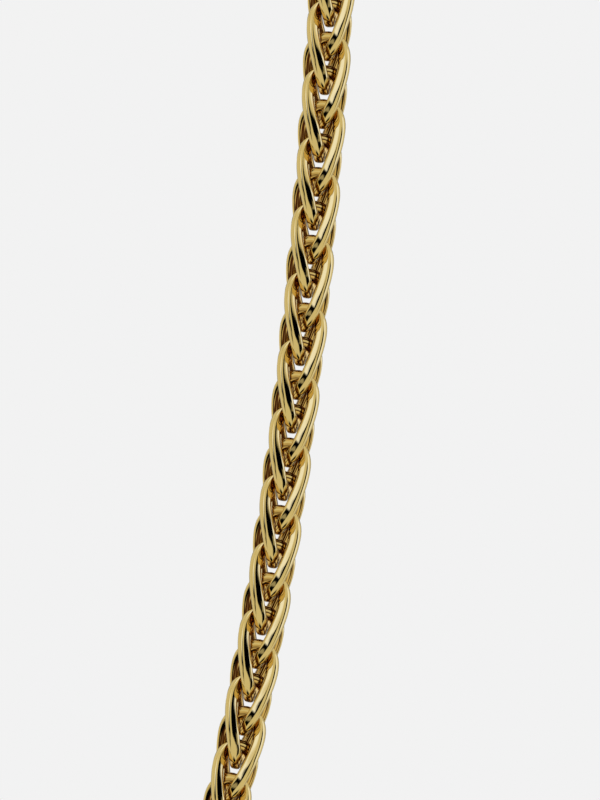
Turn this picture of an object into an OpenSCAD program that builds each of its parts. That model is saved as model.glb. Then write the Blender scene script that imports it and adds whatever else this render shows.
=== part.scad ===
/* [Links] */
// Thickness of the links' wire
wire_d = 1.36; // [1.2:0.02:1.6]
// Room left between the wires of neighbouring links
link_gap = 0.14; // [0.12:0.02:0.3]
// Turn between a link's two ends, in degrees
link_twist = 78; // [72:1:84]
// Turn of the whole chain about its own length, in degrees
chain_roll = 5; // [0:1:10]

/* [End rings] */
// Thickness of the end rings' wire
ring_wire = 0.9; // [0.7:0.05:1.2]

/* [Clasp] */
// Diameter of the barrel
barrel_d = 5.2; // [4:0.1:7]
// Length of the barrel between its eyes
barrel_len = 10; // [8:0.5:14]
// Thickness of the eyes' wire
eye_wire = 1; // [0.8:0.05:1.3]
// Play between a ring and what it passes through
ring_play = 0.3; // [0.25:0.05:0.5]

/* [Hidden] */
$fn = 64;

// A link is an oval ring of wire with a quarter turn in it: one bend lies across the chain and the
// other lies front to back. Each link passes through the next two, so its length, its reach from the
// chain's middle line and the step to the next link all follow the wire and the room between wires.
link_half = 3.21 * wire_d + link_gap;
link_reach = 1.47 * wire_d + link_gap;
link_step = 2.565 * wire_d + link_gap;
// How square the oval is: the share of its third harmonic
link_fullness = 0.11;
// The turn half way along a link, and how far its flat faces lean with the bends at its ends
middle_turn = 45;
end_lean = 1 / 3;
link_segments = 12;
wire_sides = 5;

// The necklace hangs as worn. The nape of the neck is at the origin and the front is towards -Y.
// These are the control points of the right half of its route, from the lowest point of the front to
// the nape. The left half is its mirror image.
front_y = -56;
ROUTE = [
    [0, front_y, -163], [15, front_y, -159.5], [27.5, front_y, -148.5], [33, front_y, -133.5],
    [36.6, front_y, -118.2], [39.5, front_y, -102.8], [41.8, front_y, -87.4], [43.6, front_y, -71.9],
    [45, front_y, -56.3], [46.1, front_y, -40.7], [47, front_y, -26], [46.8, -50.5, -13],
    [45.6, -39.5, -4.4], [42.5, -26, -1], [36, -12.5, 0], [26, -2.8, 0], [13.5, 2.3, 0], [0, 2.8, 0]
];
spans = len(ROUTE) - 1;
steps_per_span = 16;
route_steps = spans * steps_per_span;

function unit(v) = v / norm(v);
function mirrored(v) = [-v.x, v.y, v.z];
// Control point i, carried past both ends of the half by the mirror image
function control(i) = i < 0 ? mirrored(ROUTE[-i]) : i > spans ? mirrored(ROUTE[2 * spans - i]) : ROUTE[i];
// Point and direction of the smooth curve, a cubic B-spline, at step k of the half
function route_point(k) =
    let (i = min(floor(k / steps_per_span), spans - 1), t = k / steps_per_span - i, r = 1 - t)
    (r * r * r * control(i - 1) + (3 * t * t * t - 6 * t * t + 4) * control(i)
        + (3 * r * r * r - 6 * r * r + 4) * control(i + 1) + t * t * t * control(i + 2)) / 6;
function route_heading(k) =
    let (i = min(floor(k / steps_per_span), spans - 1), t = k / steps_per_span - i, r = 1 - t)
    unit(-r * r * control(i - 1) + (3 * t * t - 4 * t) * control(i)
        + (4 * r - 3 * r * r) * control(i + 1) + t * t * control(i + 2));

points = [for (k = [0:route_steps]) route_point(k)];
headings = [for (k = [0:route_steps]) route_heading(k)];
// Distance of each step from the lowest point, along the route
distances = [for (k = 0, d = 0; k <= route_steps; k = k + 1,
    d = k > route_steps ? d : d + norm(points[k] - points[k - 1])) d];
half_length = distances[route_steps];
// The side of the chain that faces outwards, carried along the route with no twist
facings = [for (k = 0, f = [0, -1, 0]; k <= route_steps; k = k + 1,
    f = k > route_steps ? f : unit(f - (f * headings[k]) * headings[k])) f];

function column(table, axis) = [for (k = [0:route_steps]) [distances[k], table[k][axis]]];
point_columns = [for (axis = [0:2]) column(points, axis)];
heading_columns = [for (axis = [0:2]) column(headings, axis)];
facing_columns = [for (axis = [0:2]) column(facings, axis)];
function read_at(columns, d) = [for (axis = [0:2]) lookup(d, columns[axis])];

// The frame at distance d from the lowest point, negative on the left: place, across, inwards, along
function frame_at(d) =
    let (
        a = abs(d),
        side = d < 0 ? -1 : 1,
        p = read_at(point_columns, a),
        h = unit(read_at(heading_columns, a)),
        f = read_at(facing_columns, a),
        along = [h.x, side * h.y, side * h.z],
        out = [side * f.x, f.y, f.z],
        facing = unit(out - (out * along) * along)
    )
    [[side * p.x, p.y, p.z], cross(along, facing), -facing, along];
function placed(frame, v) = frame[0] + v.x * frame[1] + v.y * frame[2] + v.z * frame[3];

// Distances from the middle of the clasp: its eyes, the end rings and the last links' free bends
eye_r = (eye_wire + ring_wire) / 2 + 2 * ring_play;
eye_sink = 0.2;
eye_at = barrel_len / 2 + eye_r - eye_sink;
ring_r = (wire_d + eye_wire + 3 * ring_play + ring_wire) / 2;
ring_at = eye_at + eye_r - eye_wire / 2 - ring_play - ring_wire / 2 + ring_r;
bend_at = ring_at + ring_r - ring_wire / 2 - ring_play - wire_d / 2;
last_link_at = half_length - bend_at - link_half;

// The count of links follows the route's length, and the step is eased so that they fill it
link_steps = round(2 * last_link_at / link_step);
pitch = 2 * last_link_at / link_steps;
left_links = floor((link_steps + 1) / 2);

// Middle of a link's wire, at angle t round it, in the link's own frame: x across, y inwards, z along
function wire_middle(t, hand) =
    let (
        u = link_reach / (1 - link_fullness) * (sin(t) + link_fullness * sin(3 * t)),
        turn = middle_turn - link_twist / 2 * cos(t),
        x = hand * u * cos(turn),
        y = u * sin(turn)
    )
    [
        x * cos(chain_roll) - y * sin(chain_roll),
        x * sin(chain_roll) + y * cos(chain_roll),
        link_half * cos(t)
    ];

// Corners of one link's mesh: rings of points round the wire, a flat side outwards
function link_corners(k) =
    let (
        frame = frame_at((k - link_steps / 2) * pitch),
        hand = k % 2 == 0 ? 1 : -1,
        turn = 360 / link_segments
    )
    [for (i = [0:link_segments - 1])
        let (
            m = wire_middle(i * turn, hand),
            w = unit(wire_middle((i + 1) * turn, hand) - wire_middle((i - 1) * turn, hand)),
            bulge = [m.x, m.y, m.z * end_lean],
            n = unit(bulge - (bulge * w) * w),
            b = cross(w, n)
        )
        for (j = [0:wire_sides - 1])
            let (a = (j + 0.5) * 360 / wire_sides)
            placed(frame, m + wire_d / 2 * (cos(a) * n + sin(a) * b))
    ];

// The faces of one link's mesh, two triangles for each side of each segment
link_points = link_segments * wire_sides;
link_faces = [for (i = [0:link_segments - 1], j = [0:wire_sides - 1])
    let (
        i2 = (i + 1) % link_segments,
        j2 = (j + 1) % wire_sides,
        p = i * wire_sides + j,
        q = i * wire_sides + j2,
        r = i2 * wire_sides + j2,
        s = i2 * wire_sides + j
    )
    each [[p, s, r], [p, r, q]]
];

gold = [0.84, 0.66, 0.33];

module links(first, last) {
    polyhedron(
        points = [for (k = [first:last]) each link_corners(k)],
        faces = [for (k = [first:last]) for (f = link_faces) f + (k - first) * link_points * [1, 1, 1]]
    );
}

// Puts its children in the frame at distance d along the route, their Z axis along the chain
module at_distance(d) {
    f = frame_at(d);
    multmatrix([
        [f[1].x, f[2].x, f[3].x, f[0].x],
        [f[1].y, f[2].y, f[3].y, f[0].y],
        [f[1].z, f[2].z, f[3].z, f[0].z]
    ]) children();
}

// A round wire ring that stands in the plane of the chain, its hole facing across or inwards
module wire_ring(r, wire, faces_across) {
    rotate([90, 0, faces_across ? 90 : 0])
        rotate_extrude() translate([r, 0]) circle(d = wire);
}

module chain_left() {
    color(gold) links(0, left_links - 1);
}

module chain_right() {
    color(gold) links(left_links, link_steps);
}

module end_ring_left() {
    color(gold) at_distance(ring_at - half_length) wire_ring(ring_r, ring_wire, false);
}

module end_ring_right() {
    color(gold) at_distance(half_length - ring_at) wire_ring(ring_r, ring_wire, true);
}

// A plain barrel with domed ends and an eye at each, all one piece
module clasp() {
    end_face_r = barrel_d / 4;
    dome_r = norm([barrel_len / 2, end_face_r]);
    color(gold) at_distance(half_length) {
        intersection() {
            cylinder(d = barrel_d, h = barrel_len, center = true);
            sphere(r = dome_r);
        }
        translate([0, 0, -eye_at]) wire_ring(eye_r, eye_wire, false);
        translate([0, 0, eye_at]) wire_ring(eye_r, eye_wire, true);
    }
}

chain_left();
chain_right();
end_ring_left();
end_ring_right();
clasp();
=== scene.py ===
# %% [markdown]
# Wheat chain necklace. A wheat chain is made of oval wire links with almost a quarter turn in each, and
# every link passes through the next two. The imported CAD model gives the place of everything. This
# lesson dresses it: smooth drawn wire in place of the model's few flat faces, polished gold, and the
# soft studio that polished gold needs, because it shows nothing but what it reflects.

import bisect
import math

import bmesh
import bpy
from mathutils import Matrix, Vector


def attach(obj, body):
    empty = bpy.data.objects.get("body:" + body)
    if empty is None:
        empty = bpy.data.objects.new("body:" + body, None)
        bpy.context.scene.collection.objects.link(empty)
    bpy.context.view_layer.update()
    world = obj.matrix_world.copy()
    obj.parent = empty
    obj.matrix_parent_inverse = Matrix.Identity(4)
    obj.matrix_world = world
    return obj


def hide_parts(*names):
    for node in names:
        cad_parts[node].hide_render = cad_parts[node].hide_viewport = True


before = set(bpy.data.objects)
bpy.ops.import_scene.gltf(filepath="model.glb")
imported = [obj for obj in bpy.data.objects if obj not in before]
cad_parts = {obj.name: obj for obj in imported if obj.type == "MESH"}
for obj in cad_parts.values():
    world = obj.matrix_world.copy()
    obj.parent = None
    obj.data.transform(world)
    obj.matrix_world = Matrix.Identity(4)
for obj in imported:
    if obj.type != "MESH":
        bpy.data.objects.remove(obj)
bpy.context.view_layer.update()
print("nodes:", sorted(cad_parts))

# %% [markdown]
# The necklace hangs as it is worn, so the links follow a route: down the neck from the nape, over the
# shoulders, and down the front to the lowest point. A Blender curve object could carry the links with
# an Array and a Curve modifier, but the modifier bends each link, and real links stay rigid. So the
# route is worked out here as a smooth curve through its frames, and each link is set on it whole.

# %% The route of the right half, in metres
MM = 0.001
FRONT_Y = -56
# The control points, from the lowest point of the front to the nape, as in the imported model
ROUTE = [Vector(point) * MM for point in (
    (0, FRONT_Y, -163), (15, FRONT_Y, -159.5), (27.5, FRONT_Y, -148.5), (33, FRONT_Y, -133.5),
    (36.6, FRONT_Y, -118.2), (39.5, FRONT_Y, -102.8), (41.8, FRONT_Y, -87.4), (43.6, FRONT_Y, -71.9),
    (45, FRONT_Y, -56.3), (46.1, FRONT_Y, -40.7), (47, FRONT_Y, -26), (46.8, -50.5, -13),
    (45.6, -39.5, -4.4), (42.5, -26, -1), (36, -12.5, 0), (26, -2.8, 0), (13.5, 2.3, 0), (0, 2.8, 0),
)]
SPANS = len(ROUTE) - 1
STEPS_PER_SPAN = 16


def control(i):
    """Control point i of the route, carried past both ends by the mirror image."""
    if i < 0:
        return ROUTE[-i] * Vector((-1, 1, 1))
    if i > SPANS:
        return ROUTE[2 * SPANS - i] * Vector((-1, 1, 1))
    return ROUTE[i]


def route_step(k):
    """Point and heading of the smooth curve, a cubic B-spline, at step k."""
    i = min(k // STEPS_PER_SPAN, SPANS - 1)
    t = k / STEPS_PER_SPAN - i
    r = 1 - t
    a, b, c, d = (control(i + offset) for offset in (-1, 0, 1, 2))
    point = (r**3 * a + (3 * t**3 - 6 * t * t + 4) * b + (3 * r**3 - 6 * r * r + 4) * c + t**3 * d) / 6
    heading = -r * r * a + (3 * t * t - 4 * t) * b + (4 * r - 3 * r * r) * c + t * t * d
    return point, heading.normalized()


POINTS, HEADINGS = zip(*(route_step(k) for k in range(SPANS * STEPS_PER_SPAN + 1)))
DISTANCES = [0.0]
FACINGS = [Vector((0, -1, 0))]
for k in range(1, len(POINTS)):
    DISTANCES.append(DISTANCES[-1] + (POINTS[k] - POINTS[k - 1]).length)
    carried = FACINGS[-1] - FACINGS[-1].dot(HEADINGS[k]) * HEADINGS[k]
    FACINGS.append(carried.normalized())
HALF_LENGTH = DISTANCES[-1]
print(f"route: {2 * HALF_LENGTH / MM:.1f} mm round the whole loop")

# %% [markdown]
# A link needs more than a place on the route: it must know which way is across the chain and which way
# is inwards. A frame worked out from the curve's own bending would flip where the bend changes sides.
# So the outward side is carried along the route with no twist, as a chain hangs when nothing winds it
# up.

# %% The frame at any distance along the route
def read_at(table, distance):
    """A table of the route read between its two nearest steps."""
    k = min(max(bisect.bisect_right(DISTANCES, distance) - 1, 0), len(DISTANCES) - 2)
    share = (distance - DISTANCES[k]) / (DISTANCES[k + 1] - DISTANCES[k])
    return table[k].lerp(table[k + 1], share)


def frame_at(distance):
    """The matrix at a distance from the lowest point: X across, Y inwards, Z along the chain."""
    side = -1 if distance < 0 else 1
    place = read_at(POINTS, abs(distance)) * Vector((side, 1, 1))
    along = read_at(HEADINGS, abs(distance)).normalized() * Vector((1, side, side))
    facing = read_at(FACINGS, abs(distance)) * Vector((side, 1, 1))
    facing = (facing - facing.dot(along) * along).normalized()
    across = along.cross(facing)
    turned = Matrix((across, -facing, along)).transposed().to_4x4()
    return Matrix.Translation(place) @ turned


print("nape:", tuple(round(v / MM, 2) for v in frame_at(HALF_LENGTH).translation), "mm")

# %% [markdown]
# One link is an oval of drawn wire with a turn in it. On the bench it is wound on a mandrel, soldered
# shut and twisted with pliers. The wire isn't round: it is a soft square, a little higher than it is
# wide, and it leans outwards towards the lower bend. Its corners are what draws the crisp lines down
# each link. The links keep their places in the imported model. The wire's section, the fullness of the
# oval, its slightly longer bends and the turn of the chain are the lesson's own.

# %% The size of the wire and of a link
# A link's half length, its reach to the side and the step to the next link all follow the packed
# model's wire and the room between two wires
WIRE_D = 1.36 * MM
GAP = 0.14 * MM
LINK_HALF = 3.21 * WIRE_D + GAP
LINK_REACH = 1.47 * WIRE_D + GAP
LINK_STEP = 2.565 * WIRE_D + GAP
TWIST = math.radians(78)
MIDDLE_TURN = math.radians(45)
# What the lesson adds: longer bends, the share of the oval's third harmonic, the turn of the chain
# about its own length, and the wire's section with its lean
BEND_FULLER = 0.10 * MM
FULLNESS = 0.07
CHAIN_ROLL = Matrix.Rotation(math.radians(4.3), 4, "Z")
SQUARENESS = 4.0
OUTWARD_HALF = 0.635 * MM
SIDEWAYS_HALF = 0.53 * MM
LEAN_HALF_WAY = math.radians(20.5)
LEAN_ONSET = 2.5
# A small step along the link, in radians, to find the wire's direction
NUDGE = 0.001


def wire_middle(t, hand):
    """Middle of a link's wire at angle t round it, in the link's own frame."""
    u = LINK_REACH / (1 - FULLNESS) * (math.sin(t) + FULLNESS * math.sin(3 * t))
    turn = MIDDLE_TURN - TWIST / 2 * math.cos(t)
    along = (LINK_HALF + BEND_FULLER) * math.cos(t)
    return CHAIN_ROLL @ Vector((hand * u * math.cos(turn), u * math.sin(turn), along))


def wire_axes(t, hand):
    """The outward and the sideways direction of the wire's section at angle t."""
    along = (wire_middle(t + NUDGE, hand) - wire_middle(t - NUDGE, hand)).normalized()
    middle = wire_middle(t, hand)
    outwards = (middle - middle.dot(along) * along).normalized()
    return outwards, along.cross(outwards)


def wire_reach(angle):
    """Distance from the wire's middle to its surface: an oval pushed towards a rectangle."""
    out = abs(math.cos(angle)) / OUTWARD_HALF
    side = abs(math.sin(angle)) / SIDEWAYS_HALF
    return (out ** SQUARENESS + side ** SQUARENESS) ** (-1 / SQUARENESS)


def wire_lean(t, hand):
    """How far the section leans outwards: not at the upper bend, and most above the lower one."""
    return hand * LEAN_HALF_WAY * (1 - math.cos(t)) * math.tanh(LEAN_ONSET * math.sin(t))


print(f"link: {2 * LINK_HALF / MM:.2f} mm long between its wire's middles")

# %% [markdown]
# What faces the neighbours of a link gets painted shade, the darkening that the links' own neighbours
# would give it, so each vertex of a link carries how much painted shade it gets. Painting this by
# hand would give each link its own shape of it, and on a chain they are all alike.

# %% How much painted shade the wire's surface gets
# Soft edges of what is left bright, without painted shade, in degrees: along the link from its upper
# bend, and round the wire from its outward side. The leaf is the long side of a link, and the bend is
# its upper one.
LEAF_ALONG = ((12, 24), (150, 162))
LEAF_AROUND = ((-90, -62), (116, 134))
BEND_ALONG = (18, 28)
BEND_AROUND = ((54, 70), (82, 98))


def rise(value, low, high):
    """A smooth step from 0 at low to 1 at high."""
    share = min(max((value - low) / (high - low), 0), 1)
    return share * share * (3 - 2 * share)


def band(value, rising, falling):
    """1 between two soft edges, each given by where it starts and where it ends."""
    return rise(value, *rising) * (1 - rise(value, *falling))


def painted_shade_share(t, side):
    """0 on the broad sides and bends that a link shows, 1 where shade is painted on what faces its
    neighbours.
    """
    along = math.degrees(math.acos(math.cos(t)))
    around = math.degrees(math.atan2(math.sin(side), math.cos(side)))
    leaf = band(along, *LEAF_ALONG) * band(around, *LEAF_AROUND)
    bend = (1 - rise(along, *BEND_ALONG)) * band(abs(around), *BEND_AROUND)
    return 1 - max(leaf, bend)


HALF_WAY = math.pi / 2
print("shelter half way along, outside and inside:", [painted_shade_share(HALF_WAY, side) for side in (0, math.pi)])

# %% [markdown]
# A circle is spun into a plain ring, and each of its vertices is moved to the oval's place. Moving the
# vertices keeps the ring's clean grid of faces, where twisting by a modifier would skew it. The two
# pattern links are mirror images of each other, so one function makes both.

# %% A pattern link of each hand
RING_STEPS = 60
WIRE_STEPS = 20
PLAIN_RING_R = 3 * MM
# How fast the painted reflection streaks change along the link, beside round the wire
GRAIN_ALONG = 0.3


def touching(verts, kind):
    """The edges or faces that touch some vertices, each of them once."""
    return list(dict.fromkeys(item for vert in verts for item in getattr(vert, kind)))


def full_spin(mesh, geometry, steps):
    """Spins a profile once round the Z axis and closes the seam."""
    bmesh.ops.spin(
        mesh, geom=geometry, cent=(0, 0, 0), axis=(0, 0, 1), angle=2 * math.pi, steps=steps,
        use_merge=True,
    )


def plain_ring(mesh, radius, wire, wire_steps, ring_steps):
    """Spins a circle of wire into a ring round the Z axis. Returns the ring's vertices."""
    before = set(mesh.verts)
    circle = bmesh.ops.create_circle(mesh, segments=wire_steps, radius=wire / 2)["verts"]
    upright = Matrix.Translation((radius, 0, 0)) @ Matrix.Rotation(math.pi / 2, 4, "X")
    bmesh.ops.transform(mesh, matrix=upright, verts=circle)
    full_spin(mesh, circle + touching(circle, "link_edges"), ring_steps)
    return [vert for vert in mesh.verts if vert not in before]


def face_outwards(mesh, verts):
    """Turns the faces of one closed shape outwards, by its vertices as they now stand."""
    mesh.normal_update()
    bmesh.ops.recalc_face_normals(mesh, faces=touching(verts, "link_faces"))


def pattern_link(mesh, hand):
    """Spins a plain ring and bends it to the link's form. Returns its geometry."""
    verts = plain_ring(mesh, PLAIN_RING_R, WIRE_D, WIRE_STEPS, RING_STEPS)
    painted_shade = mesh.verts.layers.float["painted_shade"]
    grain = mesh.verts.layers.float_vector["grain"]
    for vert in verts:
        t = math.atan2(vert.co.y, vert.co.x)
        round_wire = math.atan2(vert.co.z, math.hypot(vert.co.x, vert.co.y) - PLAIN_RING_R)
        # Painted shade where the link faces its neighbours, and where its painted reflection streaks run
        vert[painted_shade] = painted_shade_share(t, round_wire * (-hand if math.sin(t) > 0 else hand))
        vert[grain] = Vector((math.cos(round_wire), math.sin(round_wire), math.cos(t) * GRAIN_ALONG))
        outwards, sideways = wire_axes(t, hand)
        reach = wire_reach(round_wire - wire_lean(t, hand))
        direction = math.cos(round_wire) * outwards + math.sin(round_wire) * sideways
        vert.co = wire_middle(t, hand) + reach * direction
    face_outwards(mesh, verts)
    return verts + touching(verts, "link_edges") + touching(verts, "link_faces")


print("faces of a link:", RING_STEPS * WIRE_STEPS)

# %% [markdown]
# The chain is one kind of link turned to the left and to the right in turn, 132 times. Instances
# would be lighter, but each half of the chain is one piece of its own, so a pattern link of each hand
# is duplicated inside one mesh and set on the route. The step is eased so the links fill the route.

# %% Where the links go
# The clasp's and the rings' sizes come first, because the last links end where the rings begin
EYE_WIRE = 1.0 * MM
RING_WIRE = 0.9 * MM
RING_PLAY = 0.3 * MM
BARREL_D = 5.2 * MM
BARREL_LENGTH = 10 * MM
EYE_SINK = 0.2 * MM
EYE_R = (EYE_WIRE + RING_WIRE) / 2 + 2 * RING_PLAY
EYE_AT = BARREL_LENGTH / 2 + EYE_R - EYE_SINK
RING_R = (WIRE_D + EYE_WIRE + 3 * RING_PLAY + RING_WIRE) / 2
RING_AT = EYE_AT + EYE_R - EYE_WIRE / 2 - RING_PLAY - RING_WIRE / 2 + RING_R
BEND_AT = RING_AT + RING_R - RING_WIRE / 2 - RING_PLAY - WIRE_D / 2
LAST_LINK_AT = HALF_LENGTH - BEND_AT - LINK_HALF
LINK_STEPS = round(2 * LAST_LINK_AT / LINK_STEP)
PITCH = 2 * LAST_LINK_AT / LINK_STEPS
LEFT_LINKS = (LINK_STEPS + 1) // 2
print(f"links: {LINK_STEPS + 1}, one every {PITCH / MM:.3f} mm")

# %% [markdown]
# The two halves of the necklace meet at the lowest point of the front, and each is one piece of its
# own, because the whole chain bends and slips as one thing and no link of it is named by itself.

# %% The two halves of the chain
def finished_piece(name, mesh, node):
    """Makes an object of a mesh in the frame, in the place of a CAD node."""
    for face in mesh.faces:
        face.smooth = True
    print(name, "volume:", round(mesh.calc_volume(signed=True) / MM**3, 1), "mm3")
    data = bpy.data.meshes.new(name)
    mesh.to_mesh(data)
    mesh.free()
    piece = bpy.data.objects.new(name, data)
    bpy.context.scene.collection.objects.link(piece)
    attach(piece, "root")
    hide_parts(node)
    return piece


def vertices_of(geometry):
    """The vertices in a list of vertices, edges and faces."""
    return [item for item in geometry if isinstance(item, bmesh.types.BMVert)]


def chain_half(name, node, first, last):
    """Sets links first to last of the chain on the route, as one piece."""
    mesh = bmesh.new()
    # Painted shade on each vertex, and the coordinates of the painted reflection streaks
    mesh.verts.layers.float.new("painted_shade")
    mesh.verts.layers.float_vector.new("grain")
    patterns = {hand: pattern_link(mesh, hand) for hand in (1, -1)}
    for k in range(first, last + 1):
        hand = 1 if k % 2 == 0 else -1
        copied = bmesh.ops.duplicate(mesh, geom=patterns[hand])["geom"]
        place = frame_at((k - LINK_STEPS / 2) * PITCH)
        bmesh.ops.transform(mesh, matrix=place, verts=vertices_of(copied))
    for geometry in patterns.values():
        bmesh.ops.delete(mesh, geom=vertices_of(geometry), context="VERTS")
    return finished_piece(name, mesh, node)


left_half = chain_half("links_left", "chain_left", 0, LEFT_LINKS - 1)
right_half = chain_half("links_right", "chain_right", LEFT_LINKS, LINK_STEPS)
for piece in (left_half, right_half):
    print(piece.name, "faces:", len(piece.data.polygons))

# %% [markdown]
# Behind the neck a plain ring at each end of the chain joins it to the clasp. A goldsmith saws such
# rings off a coil of wire. A torus would give the same shape, but the links are spun from a circle of
# wire too, and so the rings share their helper with the links.

# %% A ring of round wire
ROUND_WIRE_STEPS = 24
ROUND_RING_STEPS = 64
# A ring stands in the plane of the chain, its hole facing inwards, or is turned to face across
STANDING = Matrix.Rotation(math.pi / 2, 4, "X")
ACROSS = Matrix.Rotation(math.pi / 2, 4, "Z") @ STANDING


def wire_ring(mesh, radius, wire, turned, place):
    """Adds a ring of round wire, turned and moved to its place."""
    verts = plain_ring(mesh, radius, wire, ROUND_WIRE_STEPS, ROUND_RING_STEPS)
    bmesh.ops.transform(mesh, matrix=place @ turned, verts=verts)
    face_outwards(mesh, verts)


def end_ring(name, node, side, turned):
    """The ring at one end of the chain, as one piece."""
    mesh = bmesh.new()
    wire_ring(mesh, RING_R, RING_WIRE, turned, frame_at(side * (HALF_LENGTH - RING_AT)))
    return finished_piece(name, mesh, node)


ring_left = end_ring("ring_left", "end_ring_left", -1, STANDING)
ring_right = end_ring("ring_right", "end_ring_right", 1, ACROSS)
print(ring_left.name, ring_right.name, "faces:", len(ring_left.data.polygons))

# %% [markdown]
# The clasp is a plain turned barrel with domed ends and an eye at each end. A lathe shape is a profile
# spun round its axis. Its corners are bevelled after that, as a goldsmith takes them off with a file,
# so that the edge between barrel and dome catches a thin line of light. The dome could be a part of a
# sphere, but a profile gives dome, side and end face in one surface.

# %% The clasp
END_FACE_R = BARREL_D / 4
DOME_R = math.hypot(BARREL_LENGTH / 2, END_FACE_R)
# The dome's arc, as turns away from the barrel's axis: from the flat end face to the corner
END_FACE_TURN = math.asin(END_FACE_R / DOME_R)
CORNER_TURN = math.asin(BARREL_D / 2 / DOME_R)
DOME_STEPS = 8
EASED = 0.3 * MM
EASED_STEPS = 4
TURNED_STEPS = 72
# Below this distance two vertices of the spun barrel are one, or stand at the same height
SAME_PLACE = 0.001 * MM
SAME_HEIGHT = 0.01 * MM


def barrel_profile():
    """The barrel's outline from one pole to the other, as (radius, height)."""
    step = (CORNER_TURN - END_FACE_TURN) / DOME_STEPS
    turns = [END_FACE_TURN + step * k for k in range(DOME_STEPS + 1)]
    dome = [(DOME_R * math.sin(turn), DOME_R * math.cos(turn)) for turn in turns]
    upper = [(0, BARREL_LENGTH / 2)] + dome
    return upper + [(r, -z) for r, z in reversed(upper)]


def corner_edges(mesh):
    """The edges round the barrel where its dome meets its side."""
    corner_z = DOME_R * math.cos(CORNER_TURN)
    found = []
    for edge in mesh.edges:
        heights = [vert.co.z for vert in edge.verts]
        level = abs(heights[0] - heights[1]) < SAME_HEIGHT
        if level and abs(abs(heights[0]) - corner_z) < SAME_HEIGHT:
            found.append(edge)
    return found


def clasp_piece():
    """The barrel and its two eyes, as one piece."""
    mesh = bmesh.new()
    verts = [mesh.verts.new((r, 0, z)) for r, z in barrel_profile()]
    edges = [mesh.edges.new(pair) for pair in zip(verts, verts[1:])]
    full_spin(mesh, verts + edges, TURNED_STEPS)
    bmesh.ops.remove_doubles(mesh, verts=mesh.verts[:], dist=SAME_PLACE)
    bmesh.ops.bevel(
        mesh, geom=corner_edges(mesh), offset=EASED, offset_type="OFFSET", segments=EASED_STEPS,
        profile=0.5, affect="EDGES", material=-1,
    )
    if mesh.calc_volume(signed=True) < 0:
        bmesh.ops.reverse_faces(mesh, faces=mesh.faces[:])
    place = frame_at(HALF_LENGTH)
    bmesh.ops.transform(mesh, matrix=place, verts=mesh.verts[:])
    wire_ring(mesh, EYE_R, EYE_WIRE, STANDING, place @ Matrix.Translation((0, 0, -EYE_AT)))
    wire_ring(mesh, EYE_R, EYE_WIRE, ACROSS, place @ Matrix.Translation((0, 0, EYE_AT)))
    return finished_piece("barrel_clasp", mesh, "clasp")


clasp = clasp_piece()
print(clasp.name, "faces:", len(clasp.data.polygons))

# %% [markdown]
# Shader maths reads better as Python than as a web of wires. A small class stands for a socket, and
# adding or multiplying two of them puts the matching Math node in the material.

# %% Shader maths as Python expressions
# A Mix node has its sockets for numbers, vectors and colours under the same names, so those for
# colours are called by their place among the inputs and the outputs
MIX_COLOUR_A = 6
MIX_COLOUR_B = 7
MIX_COLOUR_RESULT = 2


class Level:
    """A value that flows out of a shader socket."""

    def __init__(self, board, socket):
        self.board = board
        self.socket = socket

    def _math(self, operation, *values):
        sockets = dict(enumerate(values))
        return self.board.node("Math", {"operation": operation}, sockets)

    def __add__(self, other):
        return self._math("ADD", self, other)

    def __radd__(self, other):
        return self._math("ADD", other, self)

    def __sub__(self, other):
        return self._math("SUBTRACT", self, other)

    def __rsub__(self, other):
        return self._math("SUBTRACT", other, self)

    def __mul__(self, other):
        return self._math("MULTIPLY", self, other)

    def __rmul__(self, other):
        return self._math("MULTIPLY", other, self)

    def beside(self, name):
        """Another output of the same node."""
        return Level(self.board, self.socket.node.outputs[name])


class Board:
    """The nodes of one material or of the world."""

    def __init__(self, tree):
        self.tree = tree
        tree.nodes.clear()

    def node(self, kind, settings=None, sockets=None, output=0):
        """Adds a node: its settings first, then the values or links of its sockets."""
        made = self.tree.nodes.new("ShaderNode" + kind)
        for name, value in (settings or {}).items():
            setattr(made, name, value)
        for name, value in (sockets or {}).items():
            if isinstance(value, Level):
                self.tree.links.new(value.socket, made.inputs[name])
            else:
                made.inputs[name].default_value = value
        return Level(self, made.outputs[output]) if len(made.outputs) else made

    def between(self, value, low, high):
        """A smooth step from 0 at low to 1 at high."""
        return self.node(
            "MapRange", {"interpolation_type": "SMOOTHSTEP"},
            {"Value": value, "From Min": low, "From Max": high},
        )

    def colour(self, share, first, second):
        """A mix of two colours, by share."""
        sockets = {"Factor": share, MIX_COLOUR_A: first, MIX_COLOUR_B: second}
        return self.node("Mix", {"data_type": "RGBA"}, sockets, output=MIX_COLOUR_RESULT)

    def window(self, value, low, high, soft):
        """1 between low and high, fading to 0 over a soft edge on either side."""
        risen = self.between(value, low - soft, low + soft)
        fallen = self.between(value, high - soft, high + soft)
        return risen * (1 - fallen)


print("shader helpers:", Level.__name__, "and", Board.__name__)

# %% [markdown]
# Polished gold shows only reflections, so its base colour is the tint of a reflection seen straight
# on. The outer sides are bright. On the sides that face the neighbours, shade is painted into the base
# colour: dark brown, with amber streaks along the wire as painted reflections of the neighbouring links.
# Handling leaves faint clouds, which go into the tint and the roughness, and fine scratches, which are a
# very low bump.

# %% The gold
GOLD = (0.86, 0.66, 0.29, 1)
WARM_GOLD = (0.84, 0.62, 0.25, 1)
PAINTED_REFLECTION_AMBER = (0.84, 0.55, 0.17, 1)
PAINTED_SHADE_BROWN = (0.08, 0.02, 0.004, 1)
# Clouds and scratches are read in metres, the painted reflection streaks in the link's own grain
# coordinates
CLOUD_SCALE = 900.0
SCRATCH_SCALE = 9000.0
REFLECTION_STREAK_SCALE = 2.6
WARM_SHARE = 0.5
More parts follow.
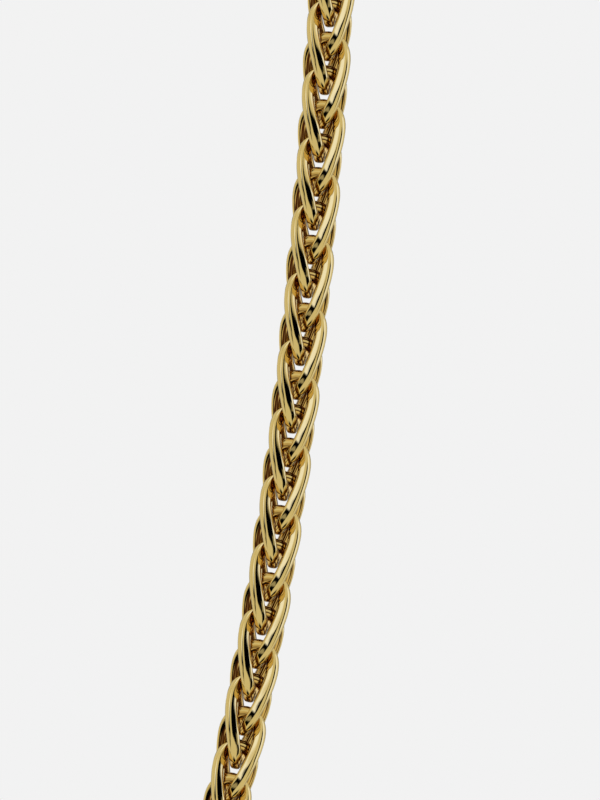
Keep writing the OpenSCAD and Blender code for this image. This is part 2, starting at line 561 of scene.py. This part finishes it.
# Where the painted shade's brown turns to the painted reflections' amber in the streaks, and where the
# painted shade takes over from the bright gold
REFLECTION_STREAK_EDGE = (0.44, 0.54)
PAINTED_SHADE_EDGE = (0.1, 0.5)
POLISH = 0.03
POLISH_VARIES = 0.04
SCRATCH_STRENGTH = 0.04
SCRATCH_DEPTH = 0.02 * MM


def polished_gold():
    """The one material of the necklace."""
    material = bpy.data.materials.new("polished_gold")
    material.use_nodes = True
    board = Board(material.node_tree)
    place = board.node("TexCoord", output="Object")
    grain = board.node("Attribute", {"attribute_name": "grain"}, output="Vector")
    painted_shade = board.node("Attribute", {"attribute_name": "painted_shade"}, output="Fac")
    clouds = board.node("TexNoise", None, {"Vector": place, "Scale": CLOUD_SCALE, "Detail": 3.0})
    scratches = board.node("TexNoise", None, {"Vector": place, "Scale": SCRATCH_SCALE, "Detail": 2.0})
    painted_reflection_streaks = board.node("TexNoise", None, {"Vector": grain, "Scale": REFLECTION_STREAK_SCALE, "Detail": 2.0})
    polished = board.colour(clouds * WARM_SHARE, GOLD, WARM_GOLD)
    # Painted shade and painted reflections: dark brown with amber streaks on what faces the neighbours
    painted_shade_colour = board.colour(board.between(painted_reflection_streaks, *REFLECTION_STREAK_EDGE), PAINTED_SHADE_BROWN, PAINTED_REFLECTION_AMBER)
    colour = board.colour(board.between(painted_shade, *PAINTED_SHADE_EDGE), polished, painted_shade_colour)
    roughness = POLISH + clouds * POLISH_VARIES
    bump = board.node(
        "Bump", None,
        {"Strength": SCRATCH_STRENGTH, "Distance": SCRATCH_DEPTH, "Height": scratches},
    )
    shader = board.node(
        "BsdfPrincipled", None,
        {"Base Color": colour, "Metallic": 1.0, "Roughness": roughness, "Normal": bump},
    )
    board.node("OutputMaterial", None, {"Surface": shader})
    return material


gold = polished_gold()
for piece in (left_half, right_half, ring_left, ring_right, clasp):
    piece.data.materials.clear()
    piece.data.materials.append(gold)
print("material:", gold.name, "nodes:", len(gold.node_tree.nodes))

# %% [markdown]
# Jewellery is lit in a tent of pale cloth with bright panels above. Real lamps and cards would do it
# too, but a world shader holds the whole tent, with no noise in its light: its gaps and panels are
# windows of azimuth and height in the sky. So each direction is first turned into these two angles.

# %% Directions in the tent
DEGREES_IN_RADIAN = 180 / math.pi
WINDOW_EDGE = 3


def azimuth_and_height(board):
    """Two angles of every direction, in degrees: to the right of the camera, and upwards."""
    x = board.node("SeparateXYZ", None, {"Vector": board.node("TexCoord", output="Generated")})
    azimuth = board.node("Math", {"operation": "ARCTAN2"}, {0: x, 1: 0 - x.beside("Y")})
    height = board.node("Math", {"operation": "ARCSINE"}, {0: x.beside("Z")})
    return azimuth * DEGREES_IN_RADIAN, height * DEGREES_IN_RADIAN


def slanted(azimuth, height, middle, slope):
    """Height above a line that falls to the right by the slope and crosses 0 at the middle azimuth."""
    return height + (azimuth - middle) * slope


def leaning_window(board, azimuth, height, sides, heights, lean, side_edge=WINDOW_EDGE):
    """1 between two upright sides and between two heights that lean."""
    across = board.window(azimuth, *sides, side_edge)
    return across * board.window(slanted(azimuth, height, *lean), *heights, WINDOW_EDGE)


print("the edge of a window is soft for", WINDOW_EDGE, "degrees on either side")

# %% [markdown]
# The tent has a dark gap on either side of the camera, and these two gaps are the black lines of the
# polished metal: each link shows the one that its side faces. Both lean, and the foot of the right one
# falls away to the right. A strip of cloth in each gives some light back, because the lines of the
# real chain aren't black all over.

# %% The dark gaps of the tent
# In degrees. Sides and heights are those of a window, and a lean is its middle azimuth and its slope.
# The other pairs say where a soft edge starts and where it ends.
RIGHT_GAP_SIDES = (31, 76)
RIGHT_GAP_LEAN = (50, 0.4)
RIGHT_GAP_FROM = (-3, 3)
RIGHT_GAP_UP_TO = (26, 32)
RIGHT_FOOT_FALLS = (36, 84)
RIGHT_FOOT_DROP = 29
RIGHT_STRIP_FROM = (51, 59)
RIGHT_STRIP_HEIGHTS = (-6, 9)
RIGHT_STRIP_LIGHT = 0.55
LEFT_GAP_SIDES = (-76, -11)
LEFT_GAP_LEAN = (-30, -0.51)
LEFT_GAP_HEIGHTS = (-5, 25)
LEFT_STRIP_UP_TO = (-42, -34)
LEFT_STRIP_HEIGHTS = (-8, 2)
LEFT_STRIP_LIGHT = 0.5
STRIP_EDGE = 2.5


def right_gap(board, azimuth, height):
    """1 in the dark gap to the right of the camera."""
    slant = slanted(azimuth, height, *RIGHT_GAP_LEAN)
    foot = slant + board.between(azimuth, *RIGHT_FOOT_FALLS) * RIGHT_FOOT_DROP
    strip = board.between(azimuth, *RIGHT_STRIP_FROM)
    strip = strip * board.window(height, *RIGHT_STRIP_HEIGHTS, STRIP_EDGE) * RIGHT_STRIP_LIGHT
    gap = board.window(azimuth, *RIGHT_GAP_SIDES, WINDOW_EDGE) * board.between(foot, *RIGHT_GAP_FROM)
    return gap * (1 - board.between(slant, *RIGHT_GAP_UP_TO)) * (1 - strip)


def left_gap(board, azimuth, height):
    """1 in the dark gap to the left of the camera."""
    strip = 1 - board.between(azimuth, *LEFT_STRIP_UP_TO)
    strip = strip * board.window(height, *LEFT_STRIP_HEIGHTS, STRIP_EDGE) * LEFT_STRIP_LIGHT
    gap = leaning_window(board, azimuth, height, LEFT_GAP_SIDES, LEFT_GAP_HEIGHTS, LEFT_GAP_LEAN)
    return gap * (1 - strip)


for name, (left_side, right_side) in (("left", LEFT_GAP_SIDES), ("right", RIGHT_GAP_SIDES)):
    print(name, "gap:", right_side - left_side, "degrees wide")

# %% [markdown]
# Three bright panels give the highlights: one high on the left, one on the right that reaches round
# the side of the chain, and one overhead. They are a little blue beside the warm cloth, which is what
# turns the gold's highlights from yellow to nearly white.

# %% The bright panels
LEFT_PANEL_SIDES = (-59, -27)
LEFT_PANEL_HEIGHTS = (17.5, 40)
LEFT_PANEL_LEAN = (-45, 0.5)
RIGHT_PANEL_SIDES = (73, 121)
RIGHT_PANEL_EDGE = 5
RIGHT_PANEL_HEIGHTS = (-14, 32)
RIGHT_PANEL_LEAN = (90, 0.32)
TOP_PANEL_SIDES = (-58, 58)
TOP_PANEL_EDGE = 8
TOP_PANEL_FROM = (50, 58)


def bright_panels(board, azimuth, height):
    """1 on the three panels."""
    left = leaning_window(board, azimuth, height, LEFT_PANEL_SIDES, LEFT_PANEL_HEIGHTS, LEFT_PANEL_LEAN)
    right = leaning_window(
        board, azimuth, height, RIGHT_PANEL_SIDES, RIGHT_PANEL_HEIGHTS, RIGHT_PANEL_LEAN,
        RIGHT_PANEL_EDGE,
    )
    top = board.window(azimuth, *TOP_PANEL_SIDES, TOP_PANEL_EDGE) * board.between(height, *TOP_PANEL_FROM)
    return left + right + top


print("panels overhead from", TOP_PANEL_FROM[0], "degrees up")

# %% [markdown]
# Now the tent is put together in the world shader. It is dim behind the necklace and dark below its
# foot. The camera itself sees a plain pale backdrop, through the Light Path node, because the tent's
# gaps have no place in the picture.

# %% The studio tent
BACKDROP = (0.888, 0.888, 0.888, 1)
CLOTH = (0.705, 0.69, 0.545, 1)
PANEL = (1.0, 1.12, 1.5, 1)
DARK = (0.0, 0.0, 0.0, 1)
BEHIND_FROM = (142, 158)
BEHIND_UP_TO = (10, 30)
BEHIND_DIM = 0.6
TENT_FOOT = (-64, -46)


def studio_tent():
    """The world: the tent in the reflections, and a backdrop for the camera."""
    world = bpy.data.worlds.new("studio_tent")
    world.use_nodes = True
    bpy.context.scene.world = world
    board = Board(world.node_tree)
    azimuth, height = azimuth_and_height(board)
    behind = board.between(azimuth, *BEHIND_FROM) + board.between(0 - azimuth, *BEHIND_FROM)
    behind = behind * (1 - board.between(height, *BEHIND_UP_TO)) * BEHIND_DIM
    shade = (1 - right_gap(board, azimuth, height)) * (1 - left_gap(board, azimuth, height))
    shade = shade * (1 - behind) * board.between(height, *TENT_FOOT)
    cloth = board.colour(shade, DARK, CLOTH)
    tent = board.colour(bright_panels(board, azimuth, height), cloth, PANEL)
    shown = board.colour(board.node("LightPath", output="Is Camera Ray"), tent, BACKDROP)
    light = board.node("Background", None, {"Color": shown, "Strength": 1.0})
    board.node("OutputWorld", None, {"Surface": light})
    return world


studio = studio_tent()
print("world:", studio.name, "nodes:", len(studio.node_tree.nodes))

# %% [markdown]
# The necklace hangs, so the floor is far enough below to stay out of the picture. It is a sheet of pale
# paper with a faint grain in its roughness, and one square without thickness is enough for that. The
# gold doesn't show it, since all that the gold reflects is in the tent.

# %% The floor
FLOOR_Z = -0.26
FLOOR_HALF = 0.6
PAPER = (0.85, 0.85, 0.85, 1)
PAPER_GRAIN_SCALE = 300.0
PAPER_ROUGHNESS = 0.85
PAPER_VARIES = 0.1


def pale_paper():
    """The floor's material."""
    material = bpy.data.materials.new("pale_paper")
    material.use_nodes = True
    board = Board(material.node_tree)
    place = board.node("TexCoord", output="Object")
    grain = board.node("TexNoise", None, {"Vector": place, "Scale": PAPER_GRAIN_SCALE})
    roughness = PAPER_ROUGHNESS + grain * PAPER_VARIES
    shader = board.node("BsdfPrincipled", None, {"Base Color": PAPER, "Roughness": roughness})
    board.node("OutputMaterial", None, {"Surface": shader})
    return material


def pale_floor():
    """The sheet below the necklace."""
    mesh = bmesh.new()
    bmesh.ops.create_grid(mesh, x_segments=1, y_segments=1, size=FLOOR_HALF)
    bmesh.ops.translate(mesh, vec=(0, 0, FLOOR_Z), verts=mesh.verts[:])
    data = bpy.data.meshes.new("floor")
    mesh.to_mesh(data)
    mesh.free()
    floor = bpy.data.objects.new("floor", data)
    bpy.context.scene.collection.objects.link(floor)
    data.materials.append(pale_paper())
    floor.visible_glossy = False
    return floor


floor = pale_floor()
print(floor.name, "at", FLOOR_Z)

# %% [markdown]
# The photograph looks straight at the right side of the chain from far off, so a long lens stands a
# metre and a half away, level with the middle of what it sees. A shorter lens close by would show the
# links at the top and the bottom from below and from above. The height of the view sets the lens.

# %% The camera
VIEW_CENTRE = Vector((43.21, FRONT_Y, -79.30)) * MM
VIEW_ROLL = 0.0041
VIEW_HEIGHT = 85.47 * MM
CAMERA_AWAY = 1.5
CLIP_START = 0.01
SENSOR = 36


def photo_camera():
    """The camera of the photograph."""
    data = bpy.data.cameras.new("camera")
    data.sensor_fit = "VERTICAL"
    data.sensor_height = SENSOR
    data.lens = SENSOR * CAMERA_AWAY / VIEW_HEIGHT
    data.clip_start = CLIP_START
    camera = bpy.data.objects.new("camera", data)
    camera.location = VIEW_CENTRE + Vector((0, -CAMERA_AWAY, 0))
    camera.rotation_euler = (math.pi / 2, -VIEW_ROLL, 0)
    bpy.context.scene.collection.objects.link(camera)
    bpy.context.scene.camera = camera
    return camera


camera = photo_camera()
bpy.context.scene.view_settings.view_transform = "Standard"
print(f"lens: {camera.data.lens:.0f} mm")
